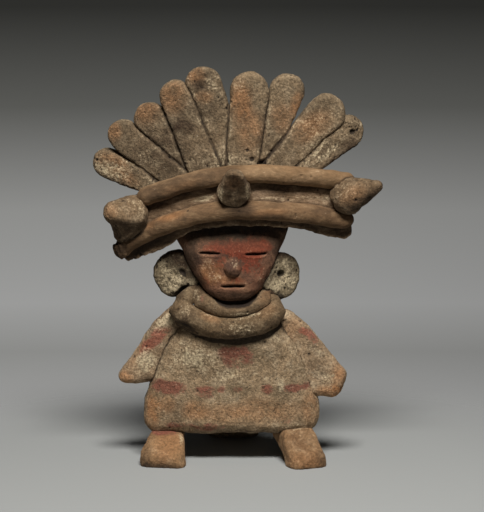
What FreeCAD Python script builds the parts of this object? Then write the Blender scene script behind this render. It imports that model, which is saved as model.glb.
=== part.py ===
import FreeCAD, Part
import math
import os

from FreeCAD import Vector

# A standing fired-clay figurine with a fan headdress, in millimetres.
# It faces -Y, +X is on the right of someone who looks at its face, and +Z is up.
# Places are measured from the middle of the neck, on the ground, until the last step centres the figure.

# Body, a pillow-shaped slab that widens to its hem
hem_height = 11.4
body_height = 50.6
body_half_width = 35.2
body_half_depth = 10.4
body_forward = 2.0
body_aside = -0.7
hem_round = 5.0
shoulder_round = 4.0
body_squareness = 3.2
body_shares = [
    # height, half width, half depth, each as a share of the body's own
    (0.120, 1.000, 1.00),
    (0.245, 0.995, 1.00),
    (0.380, 0.925, 0.99),
    (0.530, 0.855, 0.95),
    (0.694, 0.765, 0.88),
    (0.870, 0.590, 0.77),
]

# Arms, flat sleeves that hang outwards from the shoulders
arm_reach = 46.0
arm_drop = 36.0
arm_thickness = 8.0
arm_set_back = 5.9
arm_edge_round = 3.2
elbow_round = 10.0
left_hand_round = 2.4
right_hand_round = 5.0
left_arm_shares = [
    # across the reach, down the drop: inside the body, shoulder, elbow, hand, cuff, inside again
    (0.26, 0.04),
    (0.53, -0.03),
    (0.72, 0.21),
    (1.01, 0.82),
    (0.93, 0.865),
    (0.62, 0.85),
    (0.26, 0.60),
]
right_arm_shares = [
    (0.26, 0.04),
    (0.48, -0.01),
    (0.67, 0.22),
    (1.00, 0.77),
    (0.935, 0.985),
    (0.64, 1.02),
    (0.26, 0.70),
]

# Feet, flaps that slant forwards from the hem to a blunt toe
left_foot_reach = 21.8
right_foot_reach = 24.4
heel_depth = 1.5
ankle_half_width = 6.9
left_ankle_rise = 2.2
right_ankle_rise = 4.0
toe_height = 6.6
toe_round = 4.2
foot_squareness = 4.2
left_foot_place = -24.4
right_foot_place = 21.8
left_toe_flare = 2.7
right_toe_flare = 0.9
left_toe_turn = -10.0
right_toe_turn = 22.0
foot_shares = [
    # place along the foot, shares of the flare and of the rise, sole's level over the toe's height
    (0.00, -0.4, 0.90, 1.25),
    (0.34, 0.0, 1.00, 0.60),
    (0.55, 0.5, 0.70, 0.15),
    (0.73, 1.0, 0.22, -1.00),
]

# Rear support, a stub leg that slants back from the body to the ground
support_half_width = 10.2
support_half_depth = 5.0
support_reach = 38.0
support_height = 30.0
support_squareness = 3.4
support_shares = [
    # place along the slant, how wide it is there
    (0.00, 0.90),
    (0.50, 0.95),
    (0.90, 1.00),
    (1.20, 1.00),
]

# Neck
neck_radius = 8.0
neck_sink = 6.0
neck_rise = 9.0
neck_back = 0.5

# Head, which narrows straight to a rounded chin
chin_rise = 4.8
head_height = 39.5
head_half_width = 22.6
head_half_depth = 11.4
head_forward = 5.6
head_lean = -1.6
head_squareness = 2.35
head_shares = [
    # height above the chin, half width, half depth, forward, each as a share of the head's own
    (0.000, 0.130, 0.13, 2.10),
    (0.010, 0.225, 0.25, 2.08),
    (0.048, 0.365, 0.44, 1.98),
    (0.124, 0.520, 0.74, 1.62),
    (0.263, 0.685, 0.98, 1.14),
    (0.491, 0.850, 1.00, 0.98),
    (0.595, 0.950, 0.98, 0.92),
    (0.720, 1.030, 0.94, 0.82),
    (0.850, 0.960, 0.88, 0.74),
    (0.950, 0.800, 0.74, 0.70),
    (1.000, 0.480, 0.40, 0.70),
]

# Face, laid out by rule: eyes at half the head's height, nose and mouth by thirds of the face
face_height = 31.0
eye_gap = 9.6
eye_length = 8.8
eye_opening = 1.1
mouth_length = 10.0
mouth_opening = 1.1
slit_depth = 1.2
nose_bridge_radius = 1.8
nose_radius = 4.0
nose_bridge_stand = 0.5
nose_stand = 2.7

# Ear discs, thick round pads with a dimple
disc_radius = 9.6
disc_thickness = 6.0
disc_edge_round = 2.5
disc_forward = 4.6
left_disc_place = -22.2
right_disc_place = 18.2
left_disc_rise = 9.4
right_disc_rise = 8.5
left_disc_turn = -8.0
right_disc_turn = 33.0
dimple_radius = 2.2
dimple_depth = 1.1

# Collars, rolled ropes of clay hung round the neck, the inner one standing in the outer one
collar_turn = 146.0
collar_fullness = 0.95
collar_taper = 0.62
collar_taper_power = 4
inner_collar_half_span = 13.2
inner_collar_aside = 0.1
inner_collar_forward = 13.2
inner_collar_depth = 6.5
inner_collar_climb = 4.6
inner_collar_radius = 4.3
inner_collar_rise = 2.0
inner_collar_lift = 0.0
outer_collar_half_span = 19.2
outer_collar_aside = -2.3
outer_collar_forward = 13.4
outer_collar_depth = 4.2
outer_collar_climb = 6.9
outer_collar_lift = 3.0
outer_collar_radius = 5.1
outer_collar_drop = 5.5

# Headband, a strip curved round the brow and arched in front
band_half_span = 47.0
band_left_end = 45.0
band_right_end = 47.2
band_thickness = 10.0
band_forward = 15.0
band_plan_radius = 105.0
band_lip = 7.0
band_lip_loss = 1.9
band_top_margin = 0.5

# Coils, two rolled ropes of clay pressed on the front of the band
coil_radius = 3.7
coil_seat = 2.3
coil_spacing = 14.5
upper_crest = 6.0
lower_crest = 3.0
upper_left_drop = 14.0
upper_right_drop = 7.4
lower_left_drop = 16.4
lower_right_drop = 7.7
upper_left_end = 37.5
upper_right_end = 48.6
lower_left_end = 46.8
lower_right_end = 47.6

# Studs, stubby cones pressed over the coils
left_stud_length = 13.0
middle_stud_length = 15.4
right_stud_length = 16.6
left_stud_radius = 8.4
middle_stud_radius = 6.7
right_stud_radius = 8.1
left_stud_tip = 4.4
middle_stud_tip = 3.3
right_stud_tip = 2.1
stud_edge_round = 2.0
stud_stand = 4.0
middle_stud_wear = 2.0
stud_places = {
    # place along the band's half span, height between the coils, then which way it points
    "left_stud": (-0.86, 0.62, -12, -6, 6),
    "middle_stud": (0.01, 0.54, 0, -13, 11),
    "right_stud": (0.966, 0.66, 14, -7, 6),
}

# Feathers, flat petals fanned over the band, the even ones laid over the odd ones
feather_length = 37.4
feather_half_width = 7.6
feather_thickness = 5.0
feather_edge_round = 1.9
feather_step = 1.1
feather_set_back = 4.6
feather_root_sink = 5.0
feather_lean = {1: -69.5, 2: -53.0, 3: -38.0, 4: -21.3, 5: -17.2, 6: 5.2, 7: 20.2, 8: 43.8, 9: 55.5}
feather_shares = {
    # place along the band's half span, rise over the coil's radius, length, half width, root's width
    1: (-0.690, 0.70, 0.715, 0.77, 0.80),
    2: (-0.536, 1.10, 0.825, 0.87, 0.80),
    3: (-0.400, 1.30, 0.820, 0.87, 0.80),
    4: (-0.262, 1.15, 0.955, 0.86, 1.02),
    5: (-0.062, 1.60, 1.000, 0.99, 0.80),
    6: (0.086, 0.90, 0.972, 1.02, 0.82),
    7: (0.268, 1.70, 0.905, 0.93, 0.80),
    8: (0.400, 0.75, 0.940, 1.00, 0.64),
    9: (0.620, 0.90, 0.755, 0.90, 0.85),
}

# How finely round forms are drawn, and how far a cutter runs past what it cuts
round_corners = 16
broad_corners = 26
easing_steps = 3
coil_stops = 12
collar_stops = 12
band_stops = 8
tip_stops = 12
corner_stops = 3
feather_order = (6, 4, 8, 2, 5, 7, 3, 9, 1)
cut_overrun = 30.0

right = Vector(1, 0, 0)
back = Vector(0, 1, 0)
up = Vector(0, 0, 1)

shoulder_level = hem_height + body_height
chin_level = shoulder_level + chin_rise
lip_level = chin_level + face_height
lower_level = lip_level + band_lip
upper_level = lower_level + coil_spacing


def ring(centre, across, rise, half_across, half_rise, corners=round_corners, squareness=2):
    """The corners of a ring round centre, an ellipse at squareness 2 and boxier above it."""
    points = []
    for step in range(corners):
        turn = 2 * math.pi * (step + 1 / 2) / corners
        cosine, sine = math.cos(turn), math.sin(turn)
        side = math.copysign(abs(cosine) ** (2 / squareness), cosine)
        top = math.copysign(abs(sine) ** (2 / squareness), sine)
        points.append(centre + across * (half_across * side) + rise * (half_rise * top))
    return points


def polygon(points):
    """The flat face within a row of corners."""
    return Part.Face(Part.makePolygon([*points, points[0]]))


def skinned(rings):
    """The closed solid through rings of as many corners each, with a skin of flat triangles."""
    faces = [polygon(rings[0]), polygon(rings[-1])]
    for low, high in zip(rings, rings[1:]):
        for index, corner in enumerate(low):
            faces.append(polygon([low[index - 1], corner, high[index]]))
            faces.append(polygon([low[index - 1], high[index], high[index - 1]]))
    shell = Part.makeShell(faces)
    shell.sewShape()
    return Part.makeSolid(shell)


def easing():
    """A quarter circle from its pole to its rim, as shares of its radius: how far in, how wide."""
    turns = [math.pi / 2 * (step + 1 / 2) / easing_steps for step in range(easing_steps)]
    return [(1 - math.cos(turn), math.sin(turn)) for turn in turns]


def turned(centre, axis, profile, corners=round_corners):
    """A round solid along an axis, through a profile of places along it and radii."""
    axis = Vector(axis).normalize()
    across = axis.cross(up if abs(axis.z) < abs(axis.y) + abs(axis.x) else back).normalize()
    rise = across.cross(axis)
    return skinned(
        [ring(centre + axis * along, across, rise, size, size, corners) for along, size in profile]
    )


def main_solid(shape):
    """The largest solid of a shape, without the crumbs that a cut may leave."""
    return max(shape.Solids, key=lambda solid: solid.Volume)


def cut_by(shape, *carriers):
    """A piece without the space of the pieces that carry it, so that they meet face to face."""
    for carrier in carriers:
        if shape.BoundBox.intersect(carrier.BoundBox):
            shape = main_solid(shape.cut(carrier))
    return shape


def above_ground(shape):
    """A piece cut flat where it stands."""
    box = shape.BoundBox
    size = Vector(box.XLength, box.YLength, 0) + Vector(2, 2, 1) * cut_overrun
    corner = Vector(box.XMin - cut_overrun, box.YMin - cut_overrun, -cut_overrun)
    return main_solid(shape.cut(Part.makeBox(size.x, size.y, size.z, corner)))


def rolled(path, radius, stops, taper=0):
    """A rope of clay along path(share), with ends rounded like a ball.

    path gives a point for each share from 0 to 1, and stops counts the rings between the ends.
    taper is the share of its radius that the rope loses from its middle to its ends.
    """
    runs = [path((step + 1) / stops) - path(step / stops) for step in range(stops)]
    inset = radius / sum(run.Length for run in runs)
    ends = [(inset * along, wide) for along, wide in easing()]
    shares = [(inset + (1 - 2 * inset) * step / stops, 1) for step in range(stops + 1)]
    shares = ends + shares + [(1 - share, wide) for share, wide in reversed(ends)]
    rings = []
    for share, wide in shares:
        tangent = path(min(share + inset, 1)) - path(max(share - inset, 0))
        side = tangent.cross(up).normalize()
        rise = side.cross(tangent).normalize()
        size = radius * wide * (1 - taper * abs(2 * share - 1) ** collar_taper_power)
        rings.append(ring(path(share), side, rise, size, size))
    return skinned(rings)


def made_body():
    """The body as level rings, drawn in by quarter circles at the hem and the shoulders."""
    levels = []
    for along, wide in easing():
        inset = hem_round * (1 - wide)
        levels.append(
            (hem_height + hem_round * along, body_half_width - inset, body_half_depth - inset)
        )
    for height_share, width_share, depth_share in body_shares:
        level = hem_height + body_height * height_share
        levels.append((level, body_half_width * width_share, body_half_depth * depth_share))
    _, half_width, half_depth = levels[-1]
    for along, wide in reversed(easing()):
        inset = shoulder_round * (1 - wide)
        levels.append((shoulder_level - shoulder_round * along, half_width - inset, half_depth - inset))
    centre = Vector(body_aside, -body_forward, 0)
    return skinned(
        [
            ring(centre + up * level, right, back, *halves, broad_corners, body_squareness)
            for level, *halves in levels
        ]
    )


def rounded_outline(corners, radii, inset):
    """The points of a flat outline drawn in by an inset, with an arc of a radius at each corner."""
    points = []
    for index, corner in enumerate(corners):
        before = (corners[index - 1] - corner).normalize()
        after = (corners[(index + 1) % len(corners)] - corner).normalize()
        half_angle = before.getAngle(after) / 2
        inward = (before + after).normalize()
        radius = max(radii[index] - inset, radii[index] / 4)
        centre = corner + inward * ((radius + inset) / math.sin(half_angle))
        spoke = inward * -radius
        turn = before.cross(after)
        sweep = 90 - math.degrees(half_angle)
        for step in range(corner_stops + 1):
            share = 2 * step / corner_stops - 1
            points.append(centre + FreeCAD.Rotation(turn, -sweep * share).multVec(spoke))
    return points


def made_arm(side, outline_shares, hand_round):
    """A sleeve: a flat outline with rounded corners and soft edges. side is -1 or 1."""
    corners = [
        Vector(side * arm_reach * across, 0, shoulder_level - arm_drop * down)
        for across, down in outline_shares
    ]
    radii = [hand_round] * len(corners)
    radii[2] = elbow_round
    front = back * (arm_set_back - body_forward - body_half_depth)
    layers = [(arm_edge_round * along, arm_edge_round * (1 - wide)) for along, wide in easing()]
    layers += [(arm_edge_round, 0)]
    layers += [(arm_thickness - depth, inset) for depth, inset in reversed(layers)]
    return skinned(
        [
            [point + front + back * depth for point in rounded_outline(corners, radii, inset)]
            for depth, inset in layers
        ]
    )


def made_foot(place, reach, ankle_rise, toe_flare, toe_turn):
    """A foot as upright rings along its length, with a raised heel, cut flat where it stands."""
    heel = Vector(place, heel_depth, 0)
    turn = FreeCAD.Rotation(up, toe_turn)
    ahead = turn.multVec(-back)
    across = turn.multVec(right)
    length = reach + heel_depth
    rise = hem_height + ankle_rise - toe_height
    steps = [
        (
            length * length_share,
            ankle_half_width + toe_flare * flare_share,
            toe_height + rise * height_share,
            toe_height * sole_share,
        )
        for length_share, flare_share, height_share, sole_share in foot_shares
    ]
    for along, wide in reversed(easing()):
        inset = toe_round * (1 - wide)
        half_width = ankle_half_width + toe_flare - inset
        height = toe_height - inset
        steps.append((length - toe_round * along, half_width, height, -height))
    rings = []
    for along, half_width, height, sole in steps:
        centre = heel + ahead * along + up * ((height + sole) / 2)
        half_height = (height - sole) / 2
        rings.append(
            ring(centre, across, up, half_width, half_height, broad_corners, foot_squareness)
        )
    return above_ground(skinned(rings))


def made_support():
    """The rear support as rings along its slant, cut flat where it stands."""
    top = up * support_height
    slant = back * support_reach - top
    normal = slant.cross(right).normalize()
    rings = []
    for length_share, width_share in support_shares:
        half_width = support_half_width * width_share
        half_depth = support_half_depth * width_share
        centre = top + slant * length_share
        rings.append(
            ring(centre, right, normal, half_width, half_depth, broad_corners, support_squareness)
        )
    return above_ground(skinned(rings))


def made_neck():
    """The neck, a plug from inside the body's top to inside the head."""
    foot = Vector(0, neck_back, shoulder_level - neck_sink)
    height = neck_sink + chin_rise + neck_rise
    return turned(foot, up, [(0, neck_radius), (height, neck_radius)])


def made_head():
    """The head as level rings from the chin to the crown."""
    rings = []
    for height_share, width_share, depth_share, forward_share in head_shares:
        level = chin_level + head_height * height_share
        centre = Vector(head_lean * height_share, -head_forward * forward_share, level)
        half_width = head_half_width * width_share
        half_depth = head_half_depth * depth_share
        rings.append(
            ring(centre, right, back, half_width, half_depth, broad_corners, head_squareness)
        )
    return skinned(rings)


def on_face(head, across, level):
    """The point of the face at a place across it and at a level."""
    start = Vector(across, -head_forward - head_half_depth - cut_overrun, level)
    probe = Part.makeLine(start, Vector(across, -head_forward, level)).common(head)
    return Vector(across, probe.BoundBox.YMin, level)


def slit(head, across, level, length, opening):
    """A shallow lens-shaped cutter that lies along the face."""
    start = on_face(head, across - length / 3, level)
    end = on_face(head, across + length / 3, level)
    run = (end - start).normalize()
    inward = run.cross(up)
    middle = on_face(head, across, level)
    rings = []
    ends = [(along / 2, wide) for along, wide in easing()]
    for share, wide in ends + [(1 - share, wide) for share, wide in reversed(ends)]:
        centre = middle + run * (length * (share - 1 / 2))
        half_opening = opening / 2 * wide
        rings.append(ring(centre, inward, up, slit_depth * wide, half_opening))
    return skinned(rings)


def with_slits(head):
    """The head with two slit eyes and a slit mouth."""
    eye_level = chin_level + head_height / 2
    nose_level = chin_level + face_height / 3
    mouth_level = nose_level - face_height / 9
    eye_place = (eye_gap + eye_length) / 2
    cutters = [
        slit(head, across, eye_level, eye_length, eye_opening)
        for across in (-eye_place, eye_place)
    ]
    cutters.append(slit(head, 0, mouth_level, mouth_length, mouth_opening))
    return cut_by(head, *cutters)


def made_nose(head):
    """The nose, a drop that widens from the brow to its base."""
    top_level = chin_level + face_height * 2 / 3 - nose_bridge_radius
    foot_level = chin_level + face_height / 3 + nose_radius
    top = on_face(head, 0, top_level) + back * (nose_bridge_radius - nose_bridge_stand)
    foot = on_face(head, 0, foot_level) + back * (nose_radius - nose_stand)
    length = (top - foot).Length
    profile = [(nose_radius * (along - 1), nose_radius * wide) for along, wide in easing()]
    profile.append((0, nose_radius))
    profile.append((length, nose_bridge_radius))
    for along, wide in reversed(easing()):
        profile.append((length + nose_bridge_radius * (1 - along), nose_bridge_radius * wide))
    return turned(foot, top - foot, profile)


def made_disc(place, rise, turn):
    """An ear disc: a round pad with soft edges and a dimple in its face."""
    facing = FreeCAD.Rotation(up, turn).multVec(-back)
    centre = Vector(place, -disc_forward, chin_level + rise) - facing * (disc_thickness / 2)
    inner = disc_radius - disc_edge_round
    rim = [(disc_edge_round * along, inner + disc_edge_round * wide) for along, wide in easing()]
    profile = rim + [(disc_edge_round, disc_radius)]
    profile += [(disc_thickness - along, size) for along, size in reversed(profile)]
    disc = turned(centre, facing, profile, broad_corners)
    pit = [(disc_thickness - dimple_depth, dimple_radius / 4), (disc_thickness, dimple_radius)]
    pit.append((disc_thickness + dimple_depth, dimple_radius + dimple_depth))
    return cut_by(disc, turned(centre, facing, pit))


def made_collar(half_span, aside, forward, depth, level, climb, lift, radius):
    """A collar: a rolled rope on a slanted oval round the neck, lowest in front.

    lift is how much higher its ends turn up behind the widest part.
    """

    def path(share):
        turn = math.radians(collar_turn) * (2 * share - 1)
        round_off = 1 - math.cos(turn)
        sideways = math.copysign(abs(math.sin(turn)) ** collar_fullness, turn)
        rise = climb * round_off + lift * max(0, round_off - 1)
        return Vector(aside + half_span * sideways, depth * round_off - forward, level + rise)

    return rolled(path, radius, collar_stops, collar_taper)


def plan_depth(across):
    """How far back the front of the band is at a place across it."""
    return band_plan_radius - math.sqrt(band_plan_radius**2 - across**2) - band_forward


def upper_line(across):
    """The level of the upper coil at a place across the band."""
    drop = upper_left_drop if across < upper_crest else upper_right_drop
    return upper_level - drop * ((across - upper_crest) / band_half_span) ** 2


def lower_line(across):
    """The level of the lower coil at a place across the band."""
    drop = lower_left_drop if across < lower_crest else lower_right_drop
    return lower_level - drop * ((across - lower_crest) / band_half_span) ** 2


def lip_line(across):
    """The level of the band's lower edge, whose lip narrows to its left end."""
    narrowed = max(0, -across / band_left_end)
    return lower_line(across) - band_lip + band_lip_loss * narrowed**4


def made_band():
    """The headband: an arched outline cut from a curved wall."""
    width = band_left_end + band_right_end
    places = [-band_left_end + width * step / band_stops for step in range(band_stops + 1)]
    front = -band_forward - cut_overrun
    lower, upper = Part.BSplineCurve(), Part.BSplineCurve()
    lower.interpolate([Vector(x, front, lip_line(x)) for x in places])
    upper.interpolate([Vector(x, front, upper_line(x) + band_top_margin) for x in places])
    edges = [
        lower.toShape(),
        Part.makeLine(lower.EndPoint, upper.EndPoint),
        upper.toShape(),
        Part.makeLine(upper.StartPoint, lower.StartPoint),
    ]
    outline = Part.Face(Part.Wire(Part.__sortEdges__(edges)))
    block = outline.extrude(back * (cut_overrun + band_plan_radius / 2))
    foot = Vector(0, band_plan_radius - band_forward, lower_level - cut_overrun)
    height = coil_spacing + 2 * cut_overrun
    wall = Part.makeCylinder(band_plan_radius, height, foot)
    hollow = Part.makeCylinder(band_plan_radius - band_thickness, height, foot)
    return main_solid(block.common(wall.cut(hollow)))


def made_coil(line, left_end, right_end):
    """A coil along the front of the band."""

    def path(share):
        across = -left_end + (left_end + right_end) * share
        return Vector(across, plan_depth(across) - coil_seat, line(across))

    return rolled(path, coil_radius, coil_stops)


def made_stud(name, length, radius, tip, wear=0):
    """A stud: a cone with a ball-shaped tip and a soft shoulder, sunk into what it sits on.

    wear is how deep a flat facet is worn into its underside.
    """
    place, height_share, *direction = stud_places[name]
    across = band_half_span * place
    level = lower_line(across) + (upper_line(across) - lower_line(across)) * height_share
    seat = Vector(across, plan_depth(across) - coil_seat - stud_stand / 2, level)
    axis = Vector(*direction).normalize()
    middle = length - tip
    lean = math.acos(tip / math.hypot(radius, middle)) - math.atan2(middle, radius)
    profile = [(-stud_stand, radius - stud_edge_round), (0, radius)]
    for step in range(easing_steps + 1):
        turn = lean + (math.pi / 2 - lean) * step / (easing_steps + 1)
        profile.append((middle + tip * math.sin(turn), tip * math.cos(turn)))
    stud = turned(seat, axis, profile, broad_corners)
    if wear:
        under = (axis * axis.dot(up) - up).normalize()
        facing = under * math.cos(lean) + axis * math.sin(lean)
        size = 2 * cut_overrun
        block = Part.makeBox(size, size, size, Vector(-size / 2, -size / 2, 0))
        block.Placement = FreeCAD.Placement(
            seat + under * radius - facing * wear, FreeCAD.Rotation(up, facing)
        )
        stud = cut_by(stud, block)
    return stud


def feather_outline(half_width, middle, root_share):
    """The corners of a feather's outline: sides tapered to its root and a round tip about its middle."""
    root = half_width * root_share
    reach = math.hypot(root, middle + feather_root_sink)
    lean = math.acos(half_width / reach) - math.atan2(middle + feather_root_sink, root)
    corners = [Vector(-root, 0, -feather_root_sink), Vector(root, 0, -feather_root_sink)]
    for step in range(tip_stops + 1):
        turn = lean + (math.pi - 2 * lean) * step / tip_stops
        corners.append(
            Vector(half_width * math.cos(turn), 0, middle + half_width * math.sin(turn))
        )
    return corners


def made_feather(number):
    """A feather, as its soft-edged solid and as the full-depth space that it keeps from others."""
    place_share, rise_share, length_share, width_share, root_share = feather_shares[number]
    half_width = feather_half_width * width_share
    middle = feather_length * length_share - half_width
    round_off = [
        (feather_edge_round * along, half_width - feather_edge_round * (1 - wide))
        for along, wide in easing()
    ]
    round_off += [(feather_thickness - depth, size) for depth, size in reversed(round_off)]
    petal = skinned(
        [
            [corner + back * depth for corner in feather_outline(size, middle, root_share)]
            for depth, size in round_off
        ]
    )
    outline = feather_outline(half_width, middle, root_share)
    space = polygon([corner - back * cut_overrun for corner in outline])
    space = space.extrude(back * 2 * cut_overrun)
    across = band_half_span * place_share
    depth = plan_depth(across) + feather_set_back + feather_step * (number % 2)
    seat = Vector(across, depth, upper_line(across) + coil_radius * rise_share)
    swung = FreeCAD.Rotation(up, math.degrees(math.asin(across / band_plan_radius)))
    leant = FreeCAD.Rotation(back, feather_lean[number])
    for shape in (petal, space):
        shape.Placement = FreeCAD.Placement(seat, swung.multiply(leant))
    return petal, space


def feathers(*carriers):
    """All feathers: the front layer outwards from the middle, then the back layer between."""
    made = {number: made_feather(number) for number in feather_shares}
    placed = {}
    for number in feather_order:
        petal = made[number][0]
        neighbours = [made[other][1] for other in placed if abs(other - number) <= 2]
        placed[number] = cut_by(petal, *neighbours, *carriers)
    return {f"feather_{number}": placed[number] for number in sorted(placed)}


def build():
    """Every piece by name, each cut by the pieces that carry it."""
    body = made_body()
    band = made_band()
    head = cut_by(made_head(), band)
    nose = cut_by(made_nose(head), head)
    head = with_slits(head)
    neck = cut_by(made_neck(), body, head)
    left_disc = cut_by(made_disc(left_disc_place, left_disc_rise, left_disc_turn), head, neck)
    right_disc = cut_by(made_disc(right_disc_place, right_disc_rise, right_disc_turn), head, neck)
    outer = made_collar(
        outer_collar_half_span,
        outer_collar_aside,
        outer_collar_forward,
        outer_collar_depth,
        shoulder_level - outer_collar_drop,
        outer_collar_climb,
        outer_collar_lift,
        outer_collar_radius,
    )
    outer = cut_by(outer, body, head, neck, right_disc)
    inner = made_collar(
        inner_collar_half_span,
        inner_collar_aside,
        inner_collar_forward,
        inner_collar_depth,
        shoulder_level + inner_collar_rise,
        inner_collar_climb,
        inner_collar_lift,
        inner_collar_radius,
    )
    inner = cut_by(inner, body, head, neck, outer)
    upper = cut_by(made_coil(upper_line, upper_left_end, upper_right_end), band)
    lower = cut_by(made_coil(lower_line, lower_left_end, lower_right_end), band)
    pieces = {
        "body": body,
        "neck": neck,
        "head": head,
        "nose": nose,
        "outer_collar": outer,
        "inner_collar": inner,
        "headband": band,
        "upper_coil": upper,
        "lower_coil": lower,
        "rear_support": cut_by(made_support(), body),
        "left_ear_disc": cut_by(left_disc, outer, inner),
        "right_ear_disc": cut_by(right_disc, inner),
    }
    for name, sizes in {
        "left_foot": (
            left_foot_place, left_foot_reach, left_ankle_rise, left_toe_flare, left_toe_turn
        ),
        "right_foot": (
            right_foot_place, right_foot_reach, right_ankle_rise, right_toe_flare, right_toe_turn
        ),
    }.items():
        pieces[name] = cut_by(made_foot(*sizes), body)
    pieces["left_arm"] = cut_by(
        made_arm(-1, left_arm_shares, left_hand_round), body, outer, inner
    )
    pieces["right_arm"] = cut_by(
        made_arm(1, right_arm_shares, right_hand_round), body, outer, inner
    )
    studs = {
        "left_stud": (left_stud_length, left_stud_radius, left_stud_tip),
        "middle_stud": (middle_stud_length, middle_stud_radius, middle_stud_tip, middle_stud_wear),
        "right_stud": (right_stud_length, right_stud_radius, right_stud_tip),
    }
    for name, sizes in studs.items():
        pieces[name] = cut_by(made_stud(name, *sizes), band, upper, lower)
    pieces.update(feathers(band, upper, head, *(pieces[name] for name in studs)))
    return pieces


os.makedirs("parts", exist_ok=True)
figure = build()
box = Part.makeCompound(list(figure.values())).BoundBox
centring = Vector(-(box.XMin + box.XMax) / 2, -(box.YMin + box.YMax) / 2, -box.ZMin)
for name, piece in figure.items():
    piece.translate(centring)
    piece.exportStep(f"parts/{name}.step")
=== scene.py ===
import math

import bmesh
import bpy
import numpy as np
from mathutils import Matrix, Vector
from mathutils.bvhtree import BVHTree
from mathutils.kdtree import KDTree


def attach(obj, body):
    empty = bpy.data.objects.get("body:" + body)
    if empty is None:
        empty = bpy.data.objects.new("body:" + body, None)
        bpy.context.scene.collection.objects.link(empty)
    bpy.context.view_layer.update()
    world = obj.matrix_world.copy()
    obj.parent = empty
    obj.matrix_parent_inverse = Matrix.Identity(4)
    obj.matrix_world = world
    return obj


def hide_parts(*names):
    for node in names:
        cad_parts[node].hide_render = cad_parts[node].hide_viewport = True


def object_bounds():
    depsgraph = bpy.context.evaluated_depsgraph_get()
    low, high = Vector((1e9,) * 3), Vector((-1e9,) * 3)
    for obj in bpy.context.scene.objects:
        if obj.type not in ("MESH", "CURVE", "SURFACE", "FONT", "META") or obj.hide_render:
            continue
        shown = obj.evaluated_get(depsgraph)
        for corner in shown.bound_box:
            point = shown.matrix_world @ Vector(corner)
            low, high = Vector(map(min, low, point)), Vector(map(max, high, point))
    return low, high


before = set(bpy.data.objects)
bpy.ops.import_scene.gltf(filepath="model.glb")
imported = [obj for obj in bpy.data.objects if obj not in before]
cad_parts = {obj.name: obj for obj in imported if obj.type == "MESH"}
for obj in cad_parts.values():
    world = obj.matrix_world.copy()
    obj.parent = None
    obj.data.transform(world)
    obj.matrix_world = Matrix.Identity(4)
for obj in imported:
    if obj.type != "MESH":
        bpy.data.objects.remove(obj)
cad_low, cad_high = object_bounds()

# A hand-modelled figurine of fired clay, with remains of paint. "Left" and "right" are the viewer's.
# The clay and the camera are given in millimetres, the floor and the lamps in metres
METRE = 1000.0

# Camera: the photograph's height, how much of the object's plane a pixel covers, and where it aims
IMAGE_HEIGHT = 512
PIXEL_SIZE = 0.4
CAMERA_ELEVATION = 12.0
CAMERA_DISTANCE = 2400.0
SENSOR = 36.0
AIM = (1.84, -15.46, 84.1)

# Floor: a disc that fades out round a middle, between two distances from it
FLOOR_RADIUS = 0.5
FLOOR_COLOUR = (0.323, 0.325, 0.309)
FADE_MIDDLE, FADE_START, FADE_END = (0, -0.05, 0), 0.09, 0.23

# Backdrop: its lowest and highest viewing direction, its greys upwards, and how it darkens to the right;
# these greys are the fall-off of the studio light, painted
BACKDROP_BOTTOM, BACKDROP_TOP = -0.2325, -0.1670
BACKDROP_GREYS = ((0.0, 0.330), (0.14, 0.257), (0.26, 0.325), (0.49, 0.265), (0.75, 0.097), (1.0, 0.027))
BACKDROP_LEFT, BACKDROP_RIGHT = -0.01, 0.04
LEFT_STRENGTH, RIGHT_STRENGTH = 1.0, 0.86

# Light: what both lamps aim at, and the even light from all round
LIT_PLACE = (0, 0, 0.08)
EVEN_GREY, EVEN_STRENGTH = (0.5, 0.5, 0.5), 0.04

# Clay worked by hand: how finely a piece is drawn, how it is bent, how much it swells, and how dull it is
DRAWN, BODY_DRAWN, FACE_DRAWN = 0.40, 0.36, 0.32
WELD = 0.001
WARP_SIZES = ((11.0, 0.45), (5.0, 0.20))
SETTLE_HEIGHT = 3.0
SWELL = 0.12
ROUGHNESS, GLOSS = 0.9, 0.25

# Joints: how near another piece counts, and how wide the dirt between two pieces is
NEAR = 3.0
SEAM_WIDTH = 0.85

# Grain of the clay: finer layers as shares of the first, and how unequal scattered spots are
GRIT_SHARES = (1.0, 0.55, 0.32)
SPOT_SIZES = (0.5, 1.4)

# Face, by the part's rule: eyes at half the head's height, nose and mouth by thirds of the face
FACE_MIDDLE = -1.76
CHIN_LEVEL, HEAD_HEIGHT, FACE_HEIGHT = 66.8, 39.5, 31.0
EYE_LEVEL = CHIN_LEVEL + HEAD_HEIGHT / 2
MOUTH_LEVEL = CHIN_LEVEL + FACE_HEIGHT / 3 - FACE_HEIGHT / 9
EYE_PLACE, EYE_LENGTH = 9.2, 8.8
MOUTH_LENGTH = 10.0
SLIT_OPENING, SLIT_DEPTH = 1.1, 1.1

# Noise: its table of directions, how far apart two seeds lie, and what brings it to about -1 to 1
TABLE_SIZE = 256
SEED_STEP = 17.3
NOISE_HEIGHT = 1.6
table_dice = np.random.default_rng(1907)
GRADIENTS = table_dice.normal(size=(TABLE_SIZE, 3))
GRADIENTS /= np.linalg.norm(GRADIENTS, axis=1)[:, None]
SHUFFLE = table_dice.permutation(TABLE_SIZE)

# Masks that a material reads from its piece's points
MASKS = ("ochre", "red", "cream", "soot", "seam", "relief")
NO_RELIEF = 0.5

# Colours of what time left on the bare clay, of the shade and highlights painted on it, and of its remains of
# paint
# The crevice colour darkens joints as dirt, and hollows and overhung places as painted shade
CREVICE_SHADE_AND_DIRT = (0.016, 0.010, 0.007)
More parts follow.
